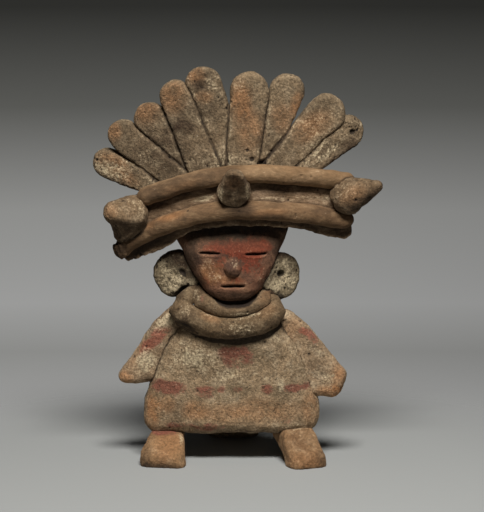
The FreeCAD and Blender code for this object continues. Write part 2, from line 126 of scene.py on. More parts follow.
# The soot colour is soot, and also painted shadow under overhangs
SOOT_AND_SHADE = (0.052, 0.031, 0.017)
OCHRE = (0.360, 0.155, 0.055)
RED = (0.190, 0.059, 0.037)
ARM_RED = (0.255, 0.080, 0.048)
FACE_RED = (0.155, 0.027, 0.011)
# The cream colour is cream slip, and also painted highlights on lit rims
CREAM_AND_HIGHLIGHT = (0.500, 0.395, 0.245)
DARK_SPECK = (0.040, 0.028, 0.020)
PALE_SPECK = (0.560, 0.460, 0.320)

# How a rolled piece's grain stretches along it
EVEN, ROLLED = (1, 1, 1), (2.5, 1, 1)


def noise(points, size, seed=0):
    """Smooth noise of about -1 to 1 at points, with lumps of a size. size may differ by axis."""
    places = points / np.asarray(size) + SEED_STEP * seed
    cells = np.floor(places).astype(np.int64)
    inside = places - cells
    fade = inside**3 * (inside * (inside * 6 - 15) + 10)
    total = np.zeros(len(points))
    for corner in range(8):
        step = np.array([corner & 1, corner >> 1 & 1, corner >> 2])
        x, y, z = ((cells + step) % TABLE_SIZE).T
        picked = SHUFFLE[(SHUFFLE[(SHUFFLE[x] + y) % TABLE_SIZE] + z) % TABLE_SIZE]
        weight = np.prod(np.where(step, fade, 1 - fade), axis=1)
        total += weight * np.einsum("ij,ij->i", GRADIENTS[picked], inside - step)
    return total * NOISE_HEIGHT


def ramp(values, low, high):
    """Values from low to high as a soft step from 0 to 1."""
    share = np.clip((values - low) / (high - low), 0, 1)
    return share * share * (3 - 2 * share)


def fall(values, low, high):
    """Values from low to high as a soft step from 1 to 0."""
    return 1 - ramp(values, low, high)


def hump(values, middle, width):
    """A bell that is 1 where the values are at its middle."""
    return np.exp(-((values - middle) / width) ** 2)


def warp(points):
    """Points moved by one smooth field, so that neighbours are bent alike and still meet."""
    moved = points.copy()
    for layer, (size, amount) in enumerate(WARP_SIZES):
        for axis in range(3):
            moved[:, axis] += amount * noise(points, size, seed=3 * layer + axis + 1)
    settled = ramp(points[:, 2], 0, SETTLE_HEIGHT)[:, None]
    return points + (moved - points) * settled


def others_tree(name):
    """A search tree over the CAD faces of every piece but one, in millimetres."""
    corners, faces = [], []
    for other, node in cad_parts.items():
        if other != name:
            start = len(corners)
            corners += [vertex.co * METRE for vertex in node.data.vertices]
            faces += [[start + index for index in face.vertices] for face in node.data.polygons]
    return BVHTree.FromPolygons(corners, faces)


class Surface:
    """A piece's fine skin: its points in millimetres, and masks that its material paints by.

    start, and x and z from it, say where the points were before any change. facing goes from -1 at
    the back to 1 at the front, front from 0 to 1, gap is the way to the nearest other piece, and
    relief how much the surface stands out; the material darkens low relief as dirt and as painted shade.
    """

    def __init__(self, name, drawn=DRAWN, rounding=8):
        self.name = name
        self.mesh = self.skin(drawn, rounding)
        self.points = np.zeros(len(self.mesh.vertices) * 3)
        self.mesh.vertices.foreach_get("co", self.points)
        self.points = self.points.reshape(-1, 3)
        self.start = self.points.copy()
        self.x, self.z = self.start[:, 0], self.start[:, 2]
        self.facing = -self.normals[:, 1]
        self.front = ramp(self.facing, 0.0, 0.5)
        self.gap = self.measured_gap()
        self.relief = np.zeros(len(self.points))
        self.masks = {mask: np.zeros(len(self.points)) for mask in MASKS}
        self.places = KDTree(len(self.start))
        for index, point in enumerate(self.start):
            self.places.insert(point, index)
        self.places.balance()

    def skin(self, drawn, rounding):
        """The CAD node's mesh in even faces of a size, with its edges rounded by so many steps."""
        rough = bpy.data.objects.new("rough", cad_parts[self.name].data.copy())
        rough.data.materials.clear()
        rough.data.transform(Matrix.Diagonal((METRE, METRE, METRE, 1)))
        welded = bmesh.new()
        welded.from_mesh(rough.data)
        bmesh.ops.remove_doubles(welded, verts=welded.verts, dist=WELD)
        welded.to_mesh(rough.data)
        welded.free()
        bpy.context.scene.collection.objects.link(rough)
        even = rough.modifiers.new("even", "REMESH")
        even.mode = "VOXEL"
        even.voxel_size = drawn
        soft = rough.modifiers.new("soft", "SMOOTH")
        soft.factor = 0.5
        soft.iterations = rounding
        view_layer = bpy.context.evaluated_depsgraph_get()
        mesh = bpy.data.meshes.new_from_object(rough.evaluated_get(view_layer))
        bpy.data.objects.remove(rough)
        return mesh

    def measured_gap(self):
        """How far each point is from the nearest other piece, up to NEAR."""
        tree = others_tree(self.name)
        found = [tree.find_nearest(Vector(point), NEAR)[3] for point in self.points]
        return np.array([NEAR if gap is None else gap for gap in found])

    @property
    def normals(self):
        """The points' normals as they are now."""
        self.mesh.vertices.foreach_set("co", self.points.ravel())
        self.mesh.update()
        normals = np.zeros(len(self.points) * 3)
        self.mesh.vertices.foreach_get("normal", normals)
        return normals.reshape(-1, 3)

    def rightwards(self, amount):
        """Moves the points to the viewer's right."""
        self.points[:, 0] += amount

    def forwards(self, amount):
        """Moves the points towards the viewer."""
        self.points[:, 1] -= amount

    def upwards(self, amount):
        """Moves the points up."""
        self.points[:, 2] += amount

    def push(self, amount):
        """Moves the points along their normals."""
        self.points = self.points + self.normals * np.asarray(amount)[..., None]

    def carve(self, depth):
        """Sinks the surface and remembers the depth, which the material darkens as dirt and as painted shade.
        """
        self.push(-depth)
        self.relief -= depth

    def grit(self, size, height, seed):
        """A rough grain, up and down: lumps of a size, with finer ones on them."""
        grain = np.zeros(len(self.start))
        for step, share in enumerate(GRIT_SHARES):
            grain += height * share * noise(self.start, size * share, seed + 7 * step)
        self.push(grain)
        self.relief += grain

    def scattered(self, spacing, radius, seed, where=None):
        """Small round spots, 1 in the middle of each, about one for so many points of the surface."""
        dice = np.random.default_rng(seed)
        spots = np.zeros(len(self.start))
        for centre in dice.integers(len(self.start), size=len(self.start) // spacing):
            size = radius * dice.uniform(*SPOT_SIZES)
            if where is not None and where[centre] < dice.uniform():
                continue
            for _, index, reach in self.places.find_range(self.start[centre], size):
                spots[index] = max(spots[index], 1 - (reach / size) ** 2)
        return spots

    def pits(self, spacing, radius, depth, seed, where=None):
        """Scattered pits, where grit fell out of the clay."""
        self.carve(depth * self.scattered(spacing, radius, seed, where))

    def crumbs(self, spacing, radius, height, seed, where=None):
        """Scattered pale crumbs that stand up a little."""
        spots = self.scattered(spacing, radius, seed, where)
        self.push(height * spots)
        self.masks["cream"] += 0.20 * ramp(spots, 0.1, 0.6)

    def painted_highlight_rim(self, strength, distance, width, where=1.0):
        """A pale line on the front, at a distance from the joint: a painted highlight, as if the edge were
        lit.
        """
        self.masks["cream"] += strength * self.front * hump(self.gap, distance, width) * where

    def reach(self, across, level):
        """How far each point is from a place, seen from the front."""
        return np.hypot(self.x - across, self.z - level)

    def above_edge(self):
        """How far each point is above the piece's lowest one in its own column, 1 mm wide."""
        columns = np.floor(self.x - self.x.min()).astype(int)
        lowest = np.full(columns.max() + 1, np.inf)
        np.minimum.at(lowest, columns, self.z)
        return self.z - lowest[columns]

    def paint(self, all_round=False, **patches):
        """Adds soft-edged patches to masks, on the front or all round.

        A patch is its place across, height, half width, half height, turn in degrees and strength.
        """
        front = 1.0 if all_round else self.front
        for mask, places in patches.items():
            for across, level, half_width, half_height, turn, strength in places:
                angle = math.radians(turn)
                x = self.x - across
                z = self.z - level
                along = (x * math.cos(angle) + z * math.sin(angle)) / half_width
                over = (z * math.cos(angle) - x * math.sin(angle)) / half_height
                self.masks[mask] += strength * front * fall(np.hypot(along, over), 0.35, 1.3)

    def place(self, material, slot):
        """Bends the finished piece like its neighbours and lets it stand for its CAD node, in metres."""
        low, high = (np.array(corner) * METRE for corner in (cad_low, cad_high))
        self.points = np.clip(warp(self.points), low, high)
        self.mesh.vertices.foreach_set("co", (self.points / METRE).ravel())
        self.mesh.update()
        self.masks["seam"] = fall(self.gap, 0.0, SEAM_WIDTH)
        self.masks["relief"] = NO_RELIEF + self.relief
        for mask in MASKS:
            layer = self.mesh.attributes.new(mask, "FLOAT", "POINT")
            layer.data.foreach_set("value", self.masks[mask])
        for face in self.mesh.polygons:
            face.use_smooth = True
        self.mesh.materials.clear()
        self.mesh.materials.append(material)
        piece = bpy.data.objects.new(f"clay_{self.name}", self.mesh)
        bpy.context.scene.collection.objects.link(piece)
        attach(piece, "root")
        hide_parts(self.name)


class Painter:
    """Adds nodes to a material's or the world's tree."""

    def __init__(self, tree):
        self.tree = tree

    def feed(self, socket, value):
        """Links a socket to an output, or sets it to a value. A colour gets its alpha."""
        if isinstance(value, bpy.types.NodeSocket):
            self.tree.links.new(value, socket)
        elif socket.type == "RGBA":
            socket.default_value = (*value, 1)
        else:
            socket.default_value = value

    def node(self, kind, settings=None, **sockets):
        """A node of a kind, with settings, and its sockets set to values or linked."""
        made = self.tree.nodes.new(kind)
        for key, value in (settings or {}).items():
            setattr(made, key, value)
        for key, value in sockets.items():
            self.feed(made.inputs[key.replace("_", " ")], value)
        return made

    def coordinates(self, kind="Object"):
        """Places on the object, or another kind of texture coordinate."""
        return self.node("ShaderNodeTexCoord").outputs[kind]

    def noise(self, size, detail=3.0, stretch=EVEN, offset=0.0, roughness=0.5):
        """Noise from 0 to 1 with lumps of a size in millimetres, longer along a stretched axis."""
        mapping = self.node(
            "ShaderNodeMapping",
            Vector=self.coordinates(),
            Location=(offset, offset, offset),
            Scale=tuple(1 / share for share in stretch),
        )
        made = self.node(
            "ShaderNodeTexNoise",
            Vector=mapping.outputs["Vector"],
            Scale=METRE / size,
            Detail=detail,
            Roughness=roughness,
        )
        return made.outputs["Fac"]

    def mask(self, name):
        """A mask of the piece's points."""
        return self.node("ShaderNodeAttribute", {"attribute_name": name}).outputs["Fac"]

    def ramp(self, value, low, high, start=0.0, end=1.0, kind="SMOOTHSTEP"):
        """A value from low to high as a step from start to end, soft if nothing else is said."""
        made = self.node(
            "ShaderNodeMapRange",
            {"interpolation_type": kind},
            Value=value,
            From_Min=low,
            From_Max=high,
            To_Min=start,
            To_Max=end,
        )
        return made.outputs["Result"]

    def sum(self, operation, first, second):
        """Two values put together by an operation."""
        made = self.node("ShaderNodeMath", {"operation": operation})
        self.feed(made.inputs[0], first)
        self.feed(made.inputs[1], second)
        return made.outputs["Value"]

    def plus(self, first, second):
        return self.sum("ADD", first, second)

    def times(self, first, second):
        return self.sum("MULTIPLY", first, second)

    def mix(self, factor, under, over):
        """A colour laid over another by a factor."""
        made = self.node("ShaderNodeMix", {"data_type": "RGBA"}, Factor=factor)
        self.feed(made.inputs[6], under)
        self.feed(made.inputs[7], over)
        return made.outputs[2]

    def mix_shaders(self, factor, under, over):
        """A shader laid over another by a factor."""
        made = self.node("ShaderNodeMixShader", Fac=factor)
        self.feed(made.inputs[1], under)
        self.feed(made.inputs[2], over)
        return made.outputs["Shader"]


def made_material(name):
    """A new material, and its painter."""
    material = bpy.data.materials.new(name)
    material.use_nodes = True
    return material, Painter(material.node_tree)


def stained(painter, colour, middle, fine, red):
    """Ochre, worn red and cream paint with painted highlights, and soot with painted shadow over a colour,
    all broken up by the noises.
    """
    ochre = painter.times(painter.mask("ochre"), painter.ramp(middle, 0.34, 0.62, start=0.35))
    colour = painter.mix(ochre, colour, OCHRE)
    red_grain = painter.plus(painter.times(fine, 0.9), painter.times(middle, 1.4))
    red_left = painter.ramp(painter.plus(painter.mask("red"), red_grain), 1.42, 1.80, end=0.86)
    colour = painter.mix(red_left, colour, red)
    cream_grain = painter.plus(painter.times(fine, 1.3), painter.times(middle, 0.7))
    # Cream slip, and painted highlights on rims where the mask marks them
    cream_left = painter.ramp(painter.plus(painter.mask("cream"), cream_grain), 1.14, 1.58, end=0.85)
    colour = painter.mix(cream_left, colour, CREAM_AND_HIGHLIGHT)
    # Soot, and painted shadow where the mask marks shade
    soot = painter.times(painter.mask("soot"), painter.ramp(middle, 0.38, 0.64, start=1.0, end=0.6))
    return painter.mix(soot, colour, SOOT_AND_SHADE)


def clay(name, shade, tone, light, red=RED, pale=0.5, dark=0.5, seams=0.9, grain=1.0, streaks=EVEN):
    """Unglazed clay: three tones, the painted masks, specks, dirt in the seams, painted shade in its hollows,
    and a fine grain.

    pale and dark are how many specks of each kind there are, seams how dark the joints are, grain
    how coarse the fine tones and relief are, and streaks how a rolled piece's tones stretch.
    """
    material, painter = made_material(name)
    broad = painter.noise(15, 5, offset=0.11)
    middle = painter.noise(4.2, 6, streaks, offset=0.37, roughness=0.6)
    fine = painter.noise(1.0, 5, streaks, offset=0.53, roughness=0.78)
    colour = painter.mix(painter.ramp(broad, 0.36, 0.62), shade, tone)
    colour = painter.mix(painter.ramp(middle, 0.44, 0.68, end=0.7), colour, light)
    colour = stained(painter, colour, middle, fine, red)
    shift = 0.38 * grain
    value = painter.ramp(fine, 0.33, 0.67, start=1 - shift, end=1 + shift)
    colour = painter.node("ShaderNodeHueSaturation", Color=colour, Value=value).outputs["Color"]
    pale_spots = painter.noise(0.8, 3, offset=0.71, roughness=0.6)
    pale_start = 0.70 - 0.10 * pale
    pale_specks = painter.ramp(pale_spots, pale_start, pale_start + 0.10, end=0.6)
    colour = painter.mix(pale_specks, colour, PALE_SPECK)
    dark_spots = painter.noise(0.8, 3, offset=0.93, roughness=0.65)
    dark_start = 0.69 - 0.10 * dark
    dark_specks = painter.ramp(dark_spots, dark_start, dark_start + 0.09, end=0.85)
    colour = painter.mix(dark_specks, colour, DARK_SPECK)
    # Painted shade: low relief is darkened towards the crevice colour, in pits, grooves and the places marked
    # as shaded
    colour = painter.mix(painter.ramp(painter.mask("relief"), 0.36, 0.02, end=0.85), colour, CREVICE_SHADE_AND_DIRT)
    seam = painter.times(painter.mask("seam"), painter.ramp(middle, 0.36, 0.60, start=0.5))
    colour = painter.mix(painter.times(seam, seams), colour, CREVICE_SHADE_AND_DIRT)
    roughened = painter.noise(0.7, 5, streaks, roughness=0.65)
    height = painter.plus(roughened, painter.times(fine, 0.8))
    height = painter.sum("SUBTRACT", height, painter.times(dark_spots, 0.5))
    bump = painter.node("ShaderNodeBump", Height=height, Strength=1.0, Distance=0.00048 * grain)
    shader = painter.tree.nodes["Principled BSDF"]
    painter.feed(shader.inputs["Base Color"], colour)
    painter.feed(shader.inputs["Normal"], bump.outputs["Normal"])
    painter.feed(shader.inputs["Roughness"], ROUGHNESS)
    painter.feed(shader.inputs["Specular IOR Level"], GLOSS)
    return material


def feather(number):
    """One petal: grooves along its joints, pits, and pale rims painted as highlights; the outer two and the
    fifth are coarser.
    """
    petal = Surface(f"feather_{number}", rounding=10)
    if number > 7:
        petal.gap += 2.0 * ramp(petal.x, 33.0, 37.0)
    if number in (1, 9):
        petal.forwards(1.8 * petal.front)
    petal.gap = np.maximum(petal.gap + 0.35 * noise(petal.start, 1.3, number) - 0.15, 0)
    sunk = 0.7 * fall(petal.gap, 0.05, 1.2) * ramp(np.abs(petal.facing), 0.3, 0.8)
    petal.forwards(-sunk * np.sign(petal.facing))
    petal.relief -= 0.20 * sunk
    petal.push(SWELL)
    petal.grit(3.0, 0.16, number)
    petal.pits(260, 0.55, 0.40, number)
    coarse = {1: petal.front, 5: petal.front * ramp(petal.z, 143, 147), 9: petal.front}
    if number in coarse:
        petal.pits(30, 0.50, 0.35, number + 10, coarse[number])
        petal.crumbs(30, 0.45, 0.08, number + 20, coarse[number])
    # Painted highlight: a pale rim beside each joint, where the edge is lit
    petal.painted_highlight_rim(0.22, 1.3, 0.35)
    return petal


def feathers():
    """Nine petals, fired orange at the tips, dark between them with soot and painted shade, with a few larger
    holes.
    """
    material = clay("feather_clay", shade=(0.130, 0.090, 0.051), tone=(0.215, 0.148, 0.083),
                    light=(0.300, 0.220, 0.132), pale=0.35, dark=0.60, seams=0.85, grain=1.2)
    ochre = [
        (-50.0, 120.6, 7, 4, -20, 0.55),
        (-45.0, 115.5, 7, 3, -25, 0.40),
        (-49.2, 133.5, 3.5, 4.5, 0, 0.50),
        (-36.5, 142.5, 6.0, 6.0, 0, 0.52),
        (-26.0, 149.0, 6.0, 7.5, 0, 0.52),
        (-16.7, 157.5, 4, 4, 0, 0.55),
        (-13.5, 149.0, 4, 3, 0, 0.45),
        (1.2, 147.5, 5.0, 9.0, 0, 0.62),
        (4.9, 136.0, 6.0, 9.0, 0, 0.50),
        (23.5, 145.5, 2.8, 5.5, -15, 0.60),
        (17.5, 140.2, 4.5, 7.0, 10, 0.40),
        (30.0, 136.5, 9.0, 5.5, 40, 0.58),
    ]
    soot = [
        (-48.0, 111.7, 11.5, 1.7, -26, 0.95),
        (-34.0, 126.0, 14, 8, -40, 0.50),
        (-30.5, 132.5, 6, 12, 35, 0.40),
        (-24.5, 132.5, 5, 7, 20, 0.45),
        (-21.9, 137.2, 6, 3.5, -20, 0.90),
        (-15.0, 153.5, 4, 3, 0, 0.45),
        (-15.0, 130.0, 7, 8, 0, 0.30),
        (-11.0, 143.0, 6, 16, 15, 0.32),
        (-36.5, 142.5, 7, 7, 0, 0.25),
        (-26.0, 149.0, 7, 8, 0, 0.25),
        (-15.5, 156.0, 6, 5, 0, 0.25),
        (-50.5, 122.5, 6, 5, 0, 0.15),
        (3.0, 141.0, 5, 18, 0, 0.20),
        (18.0, 142.0, 5, 14, -20, 0.20),
        (44.5, 128.8, 7, 3.2, 40, 0.75),
        (41.5, 122.9, 10, 2.4, 28, 0.95),
        (10.5, 121.8, 3.2, 2.8, 0, 0.95),
        (15.7, 128.2, 8.5, 1.2, 52, 0.80),
        # Dark line along the sixth and seventh petals' joint, partly painted shade of the sixth petal's side
        (9.6, 136.0, 12.0, 1.0, 79, 0.55),
    ]
    cream = [
        (34.0, 138.0, 10, 7, 40, 0.09),
        (-50.0, 117.0, 9, 5, -26, 0.13),
        (0.5, 154.5, 3.0, 4.0, 0, 0.18),
        (-9.5, 155.0, 4.0, 5.0, 0, 0.14),
        (-50.0, 118.5, 8, 4, -20, 0.24),
        (-36.0, 122.5, 7, 3, -40, 0.22),
        (-8.0, 123.5, 12, 4, 0, 0.20),
        (30.0, 127.0, 10, 4, 40, 0.22),
        (37.0, 126.0, 9, 1.6, 38, 0.35),
        (30.0, 138.0, 9, 7, 40, 0.12),
    ]
    holes = [(10.1, 121.4, 2.6, 1.3), (45.8, 133.3, 1.5, 1.1), (6.0, 124.0, 1.3, 0.7), (4.0, 127.5, 1.0, 0.6)]
    for number in range(1, 10):
        petal = feather(number)
        for across, level, radius, depth in holes:
            inside = fall(petal.reach(across, level), 0.3 * radius, radius)
            petal.carve(depth * petal.front * inside)
        petal.paint(ochre=ochre, soot=soot, cream=cream)
        petal.place(material, "feather_clay")


def break_left_end(coil):
    """Lowers the lower coil's left end, more at the tip of its upper side, and leaves it ragged."""
    end = ramp(-coil.x, 41.0, 46.0)
    tip = ramp(-coil.x, 45.0, 48.5)
    upper_side = coil.normals[:, 2]
    lowered = 1.8 * end * ramp(-upper_side, -0.2, 0.7) + 2.4 * tip * ramp(upper_side, -0.2, 0.7)
    coil.upwards(-lowered)
    coil.push(1.1 * end * noise(coil.start, (1.8, 1.8, 2.6), 10))


def coils():
    """The two ropes along the headband: rolled smooth, with faint lines along them and rusty stains."""
    upper = clay("upper_coil_clay", shade=(0.150, 0.086, 0.040), tone=(0.224, 0.132, 0.064),
                 light=(0.280, 0.175, 0.091), pale=0.0, dark=0.20, seams=0.8, grain=0.55, streaks=ROLLED)
    lower = clay("lower_coil_clay", shade=(0.112, 0.063, 0.030), tone=(0.170, 0.097, 0.047),
                 light=(0.228, 0.140, 0.071), pale=0.0, dark=0.30, seams=0.8, grain=0.60, streaks=ROLLED)
    rust = [
        (-22.0, 114.5, 10.0, 2.5, 18, 0.30),
        (-27.9, 102.5, 7.0, 2.5, 15, 0.60),
        (-36.0, 98.0, 3.5, 2.0, 20, 0.30),
        (12.0, 104.5, 9.0, 1.6, 0, 0.30),
    ]
    soot = [
        # Painted shadow of the middle stud on the lower rope
        (0.1, 105.6, 7.5, 2.6, 0, 0.85),
        (-1.5, 119.0, 5.0, 3.0, 0, 0.50),
        (-47.0, 88.5, 3.5, 6.0, 20, 0.85),
        # The next two darken the ropes' left halves, partly as soot and partly as painted shade
        (-24.0, 114.5, 26.0, 6.0, 18, 0.78),
        (-22.0, 103.5, 22.0, 4.0, 17, 0.22),
        (13.0, 103.0, 4.5, 1.5, -5, 0.55),
        (34.0, 103.5, 7.0, 1.5, -8, 0.40),
        (-21.0, 101.5, 1.6, 1.2, 0, 0.50),
    ]
    for name, material in (("upper_coil", upper), ("lower_coil", lower)):
        coil = Surface(name)
        coil.push(SWELL)
        coil.push(0.05 * noise(coil.start, (9.0, 1.1, 1.1), 7))
        coil.grit(4.0, 0.12, 8)
        coil.pits(1500, 0.6, 0.40, 9)
        if name == "lower_coil":
            break_left_end(coil)
        coil.paint(ochre=rust, soot=soot, cream=[(44.9, 119.5, 3.0, 2.0, 0, 0.35)])
        coil.place(material, "coil_clay")


def wear_lip(band, above):
    """Makes the band's lower lip wavy, longer near both ends, and ragged and broken at the left one."""
    edge = fall(above, 1.5, 4.0)
    ragged = ramp(-band.x, 34, 41)
    band.upwards((0.40 + 0.5 * ragged) * edge * noise(band.start, (2.6, 6, 6), 13))
    longer = 3.2 * ramp(-band.x, 17, 31) * (1 - 0.9 * ramp(-band.x, 43.0, 46.0))
    longer += 1.6 * ramp(band.x, 26, 36) * (1 - 1.6 * ramp(band.x, 42.5, 46))
    band.upwards(-longer * fall(above, 1.5, 6.0))
    band.carve(0.7 * ragged * edge * ramp(noise(band.start, 2.0, 14), -0.1, 0.4))


def headband():
    """The strip behind the ropes: its lower lip dark, partly as painted shade, with a painted highlight on
    its edge, and painted shadow along the ropes.
    """
    material = clay("band_clay", shade=(0.130, 0.080, 0.042), tone=(0.240, 0.152, 0.084),
                    light=(0.360, 0.240, 0.145), pale=0.2, dark=0.5, seams=0.8, grain=0.9, streaks=ROLLED)
    band = Surface("headband", rounding=5)
    band.push(SWELL)
    band.push(0.08 * noise(band.start, (9.0, 1.2, 1.2), 11))
    band.grit(3.0, 0.14, 12)
    band.pits(500, 0.6, 0.40, 13)
    above = band.above_edge()
    band.forwards(1.3 * band.front * ramp(above, 7.0, 9.0))
    wear_lip(band, above)
    lip = band.front * fall(above, 4.2, 5.6) * ramp(above, 0.5, 1.4)
    # The lip darkened, as dark clay and as painted shade under the lower rope
    band.masks["soot"] += (0.80 + 0.15 * ramp(band.x, 15, 30)) * lip
    # Painted shadow on the strip next to the ropes
    band.masks["soot"] += 0.60 * band.front * ramp(above, 6.0, 8.0) * fall(band.gap, 0.7, 1.9)
    # Painted highlight along the lip's lower edge, except at the right
    band.masks["cream"] += 0.30 * fall(above, 0.3, 0.9) * band.front * fall(band.x, 12, 25)
    soot = [
        # The first, fourth and fifth are painted shadow under the upper rope
        (-26.0, 108.5, 13, 2.2, 21, 0.80),
        (-34.0, 105.0, 7, 3.2, 15, 0.55),
        (-25.0, 105.5, 9, 2.4, 18, 0.25),
        (-8.0, 112.8, 8, 1.8, 8, 0.85),
        (20.0, 113.0, 21, 2.0, -3, 0.90),
        (-0.5, 104.5, 8, 1.8, 0, 0.60),
    ]
    cream = [
        # Cream slip on the strip between the ropes, and also painted light where the strip is lit
        (-13.3, 109.0, 5.5, 1.6, 14, 0.45),
        (21.5, 108.6, 18.0, 1.3, -3, 0.24),
        (35.0, 107.5, 2.0, 2.5, 0, 0.20),
    ]
    band.paint(soot=soot, cream=cream, red=[(21.5, 107.6, 17.0, 1.2, -3, 0.20)])
    band.place(material, "band_clay")


def crease(stud):
    """A soft crease across the left stud: what is below it leans back, out and down."""
    level = 102.0
    below = level - stud.z
    stud.forwards(-stud.front * (1.9 * ramp(below, 0.0, 8.0) - hump(below, 0.0, 3.2)))
    stud.rightwards(-1.6 * ramp(below, 3.0, 9.0))
    stud.upwards(-1.6 * ramp(below, 4.0, 9.0))
    stud.upwards(1.4 * (ramp(stud.x, -50.0, -44.0) * ramp(stud.z, level, 108.0)))


def worn_facet_with_painted_light(stud):
    """A darker facet with fine upright grooves on the middle stud, partly worn and partly painted shade,
    between pale rims painted as highlights on its lit sides.
    """
    facet = fall(np.abs(stud.x + 1.4), 3.0, 4.6)
    lines = noise(stud.start, (0.9, 9.0, 9.0), 18)
    stud.carve(facet * (0.06 + 0.22 * lines) * ramp(stud.facing, 0.1, 0.6))
    stud.paint(
        soot=[(-1.5, 113.5, 4.8, 8.0, 0, 0.22)],
        ochre=[(-1.5, 118.0, 4.0, 4.0, 0, 0.30)],
        # Painted highlights: the pale rims on both lit sides
        cream=[(-6.6, 114.5, 1.5, 6.0, 0, 0.50), (4.2, 115.0, 1.5, 6.0, 0, 0.45)],
    )


def studs():
    """Three stubby cones pressed over the ropes."""
    material = clay("stud_clay", shade=(0.110, 0.069, 0.036), tone=(0.180, 0.115, 0.061),
                    light=(0.275, 0.192, 0.112), pale=0.4, dark=0.5, seams=0.9, grain=1.0)
    cream = [
        (-44.0, 106.5, 9.0, 4.0, 0, 0.10),
        (-38.0, 103.5, 3.5, 4.0, 0, 0.14),
        (42.0, 113.0, 4.0, 4.0, 0, 0.14),
    ]
    ochre = [
        (-50.3, 104.3, 3.0, 3.0, 0, 0.30),
        (46.0, 110.5, 6.0, 4.0, 20, 0.30),
    ]
    soot = [
        # Painted shade on the left stud's lower face, below its crease
        (-44.5, 96.0, 11.0, 5.8, -8, 0.90),
        (51.0, 107.8, 9.5, 3.2, 44, 0.80),
        (44.0, 105.0, 6.0, 2.4, 0, 0.35),
    ]
    for name in ("left_stud", "middle_stud", "right_stud"):
        stud = Surface(name)
        stud.push(SWELL)
        if name == "left_stud":
            crease(stud)
        stud.grit(4.0, 0.30, 15)
        if name == "middle_stud":
            worn_facet_with_painted_light(stud)
        else:
            stud.pits(250, 0.6, 0.40, 17)
        stud.paint(cream=cream, ochre=ochre, soot=soot)
        stud.place(material, "stud_clay")


def slit(head, across, level, length):
    """Presses a lens-shaped slit into the face, straight back, with a low rim above and below."""
    half_length, half_opening = length / 2, SLIT_OPENING / 2
    along = np.abs(head.x - across) / half_length
    open_here = half_opening * np.sqrt(np.clip(1 - along**2, 0, 1))
    above = np.abs(head.z - level)
    forward_part = ramp(head.facing, 0.0, 0.4)
    pressed = fall(above, open_here * 0.55, open_here + 0.30) * fall(along, 0.80, 1.05) * forward_part
    head.forwards(-SLIT_DEPTH * pressed)
    head.relief -= 0.55 * pressed
    rim = hump(above - open_here, 0.75, 0.35) * fall(along, 0.75, 1.0)
    head.forwards(0.22 * rim * forward_part)


def head_and_nose():
    """The face, laid out by the same rule as in the part, with remains of red paint, and the headband's
    shadow painted on the forehead.
    """
    material = clay("face_clay", shade=(0.080, 0.040, 0.025), tone=(0.180, 0.082, 0.045),
                    light=(0.270, 0.140, 0.075), red=FACE_RED, pale=0.15, dark=0.45, seams=0.75, grain=0.7)
    red = [
        (0.0, 89.5, 16.5, 5.5, 0, 0.62),
        (8.0, 89.2, 6.5, 3.0, 0, 0.30),
        (-7.8, 81.9, 4.5, 4.0, 0, 0.40),
        (6.6, 80.6, 5.5, 6.0, 0, 0.50),
        (-0.9, 76.0, 4.5, 2.5, 0, 0.40),
        (-12.3, 74.5, 3.0, 5.0, 25, 0.35),
        (2.0, 83.0, 4.0, 4.0, 0, 0.25),
        (10.5, 74.5, 2.5, 6.0, -25, 0.30),
    ]
    ochre = [
        (-9.8, 78.4, 5.5, 5.5, -20, 0.65),
        (-2.0, 76.0, 5.0, 2.5, 0, 0.40),
        (6.7, 89.4, 6.0, 3.0, 0, 0.30),
    ]
    soot = [
        (-20.0, 87.0, 6.5, 10.0, -15, 0.85),
        (17.5, 88.0, 5.0, 10.0, 15, 0.75),
        (-1.3, 69.0, 14.0, 3.4, 0, 0.80),
        (10.5, 73.0, 3.0, 6.0, -25, 0.50),
        # The next three are the headband's shadow painted on the forehead
        (-1.0, 98.5, 24.0, 7.0, 0, 1.00),
        (-9.0, 93.0, 12.0, 3.5, 0, 0.40),
        (0.0, 91.5, 18.0, 4.5, 0, 0.40),
        (-13.5, 74.0, 2.5, 5.5, 35, 0.50),
    ]
    cream = [
        (-8.5, 77.5, 4.0, 3.0, 0, 0.22),
        (-11.0, 82.0, 3.0, 3.0, 0, 0.20),
        (-1.0, 83.5, 2.0, 2.5, 0, 0.20),
        (10.0, 77.0, 3.0, 4.0, 0, 0.15),
    ]
    head = Surface("head", FACE_DRAWN)
    head.push(SWELL)
    head.forwards(-2.8 * head.front * ramp(head.z, 86.0, 96.0))
    slit(head, FACE_MIDDLE - EYE_PLACE, EYE_LEVEL, EYE_LENGTH)
    slit(head, FACE_MIDDLE + EYE_PLACE, EYE_LEVEL, EYE_LENGTH)
    slit(head, FACE_MIDDLE, MOUTH_LEVEL, MOUTH_LENGTH)
    # Painted shade: the forehead darkened under the headband
    head.relief -= 0.45 * head.front * ramp(head.z, 90.0, 96.0)
    head.gap = np.where(np.abs(head.x - FACE_MIDDLE) < 7, NEAR, head.gap)
    nose = Surface("nose", FACE_DRAWN, rounding=6)
    nose.push(SWELL)
    nose.gap += 0.7
    for piece in (head, nose):
        piece.grit(3.0, 0.12, 21)
        piece.pits(900, 0.5, 0.25, 23)
        piece.paint(red=red, ochre=ochre, soot=soot, cream=cream)
        piece.place(material, "face_clay")


